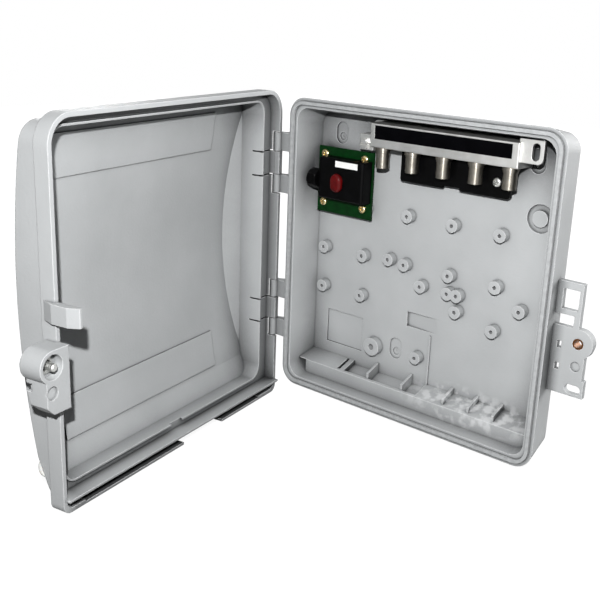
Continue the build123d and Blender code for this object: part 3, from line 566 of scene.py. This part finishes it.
# Retaining ring of the captive screw: three inner teeth and an open side
keeper = {"place": (127.5, -22.5, -22.0), "radius": 5.0, "inner": 3.5, "tooth": 2.5,
          "toothTurns": (0.25, 0.5, 0.75), "toothShare": 0.07, "gapShare": 0.16, "thick": 1.1,
          "steps": 84}
shape = bmesh.new()
rows = []
for i in range(keeper["steps"] + 1):
    turn = keeper["gapShare"] / 2 + (1 - keeper["gapShare"]) * i / keeper["steps"]
    near = min(abs(turn - t) for t in keeper["toothTurns"])
    inside = keeper["tooth"] if near < keeper["toothShare"] / 2 else keeper["inner"]
    angle = 2 * math.pi * turn
    across, up = math.cos(angle), math.sin(angle)
    section = [(inside, 0), (keeper["radius"], 0), (keeper["radius"], keeper["thick"]),
               (inside, keeper["thick"])]
    rows.append([shape.verts.new((r * across * mm, r * up * mm, h * mm)) for r, h in section])
for low, high in zip(rows, rows[1:]):
    joinLoops(shape, low, high)
shape.faces.new(rows[0])
shape.faces.new(rows[-1][::-1])
keeperMesh = closedMesh("keeperRing", shape)
keeperMesh.transform(intoLock(keeper["place"]))
keeperMesh.materials.append(tumbledZinc)
keeperRing = bpy.data.objects.new("keeperRing", keeperMesh)
scene.collection.objects.link(keeperRing)
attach(keeperRing, "lock_carrier")
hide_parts("lock_ring")

# Thread on the free end of the captive screw
lockThread = {"turns": 6.0, "radius": 2.34, "rise": 4.9, "ridge": 0.16, "count": 1,
              "start": (0, 0, 0), "step": 0, "root": (127.5, -20.8, -22.0)}
screwThread = growThreads("lockScrewThread", lockThread, tumbledZinc)
screwThread.data.transform(intoLock(lockThread["root"]))
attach(screwThread, "lock_screw_unit")
print("lock ring and thread made")

# Studio: a pale floor in a dim room; the eye and the metal see it white but for the part's shadow
studio = {"floorSize": 4.0, "floorDrop": 0.002, "floorColour": "#E6E6E6",
          "bounceColour": "#5A5A5A", "whiteShare": 0.8, "floorLevel": 1.16, "nearMm": 350,
          "farMm": 900, "ambient": 0.015, "backdrop": 1.0}


# 1 where a ray from the eye, a mirror or a clear piece meets the background, 0 for the part's light
def backgroundSeen(tree):
    path = addNode(tree, "ShaderNodeLightPath")
    mirror = addNode(tree, "ShaderNodeMath",
                     links={0: path.outputs["Is Glossy Ray"],
                            1: path.outputs["Is Transmission Ray"]}, operation="MAXIMUM")
    return addNode(tree, "ShaderNodeMath",
                   links={0: path.outputs["Is Camera Ray"], 1: mirror.outputs[0]},
                   operation="MAXIMUM").outputs[0]


floorMesh = bpy.data.meshes.new("floor")
half = studio["floorSize"] / 2
floorZ = cadBox[0][2] - studio["floorDrop"]
floorMesh.from_pydata([(-half, -half, floorZ), (half, -half, floorZ), (half, half, floorZ),
                       (-half, half, floorZ)], [], [(0, 1, 2, 3)])
floor = bpy.data.objects.new("floor", floorMesh)
scene.collection.objects.link(floor)
floorPaint = bpy.data.materials.new("paleStudioFloor")
floorPaint.use_nodes = True
tree = floorPaint.node_tree
tree.nodes.clear()
place = addNode(tree, "ShaderNodeTexCoord").outputs["Object"]
reach = addNode(tree, "ShaderNodeVectorMath", links={0: place}, operation="LENGTH")
share = addNode(tree, "ShaderNodeMapRange",
                {**fromSpan((studio["nearMm"] * mm, studio["farMm"] * mm)),
                 "To Min": studio["whiteShare"], "To Max": 1.0},
                {"Value": reach.outputs["Value"]})
matt = addNode(tree, "ShaderNodeBsdfDiffuse", {"Color": toLinear(studio["floorColour"])})
bright = addNode(tree, "ShaderNodeEmission",
                 {"Color": (1, 1, 1, 1), "Strength": studio["floorLevel"]})
seen = addNode(tree, "ShaderNodeMixShader",
               links={0: share.outputs["Result"], 1: matt.outputs[0], 2: bright.outputs[0]})
dark = addNode(tree, "ShaderNodeBsdfDiffuse", {"Color": toLinear(studio["bounceColour"])})
mixed = addNode(tree, "ShaderNodeMixShader",
                links={0: backgroundSeen(tree), 1: dark.outputs[0], 2: seen.outputs[0]})
addNode(tree, "ShaderNodeOutputMaterial", links={"Surface": mixed.outputs[0]})
floorMesh.materials.append(floorPaint)

world = bpy.data.worlds.new("studioAir")
scene.world = world
world.use_nodes = True
tree = world.node_tree
tree.nodes.clear()
dim = addNode(tree, "ShaderNodeBackground",
              {"Color": (1, 1, 1, 1), "Strength": studio["ambient"]})
white = addNode(tree, "ShaderNodeBackground",
                {"Color": (1, 1, 1, 1), "Strength": studio["backdrop"]})
mixed = addNode(tree, "ShaderNodeMixShader",
                links={0: backgroundSeen(tree), 1: dim.outputs[0], 2: white.outputs[0]})
addNode(tree, "ShaderNodeOutputWorld", links={"Surface": mixed.outputs[0]})

# The photo was lit by a small flash above the lens; soft lights behind and beside show the back
lights = {
    "flashAboveLens": {"place": (0.335, -0.563, 0.27), "size": 0.015, "watts": 6.7},
    "softBehind": {"place": (0.35, 1.5, 0.5), "size": 1.0, "watts": 22},
    "softLeft": {"place": (-1.45, 0.35, 0.3), "size": 0.9, "watts": 20},
    "softRight": {"place": (0.75, 1.1, 0.1), "size": 0.7, "watts": 11},
}
aim = Vector((-0.02, -0.08, 0))  # middle of the open box
for name, lightSet in lights.items():
    lamp = bpy.data.lights.new(name, "AREA")
    lamp.size = lightSet["size"]
    lamp.energy = lightSet["watts"]
    lampObject = bpy.data.objects.new(name, lamp)
    lampObject.location = lightSet["place"]
    awayFromBox = Vector(lightSet["place"]) - aim
    lampObject.rotation_euler = awayFromBox.to_track_quat("Z", "Y").to_euler()
    scene.collection.objects.link(lampObject)

# Camera worked out from the box's own edges in the photo
view = {"place": (0.35592, -0.55180, 0.17827), "turn": (1.26785, -0.037221, 0.712468),
        "lens": 55.72, "sensor": 36, "shift": (-0.01615, -0.00785), "clipStart": 0.01}
cameraData = bpy.data.cameras.new("photoCamera")
cameraData.sensor_width = view["sensor"]
cameraData.lens = view["lens"]
cameraData.shift_x, cameraData.shift_y = view["shift"]
cameraData.clip_start = view["clipStart"]
camera = bpy.data.objects.new("photoCamera", cameraData)
camera.location = view["place"]
camera.rotation_euler = view["turn"]
scene.collection.objects.link(camera)
scene.camera = camera
print("stage, lights and camera set")
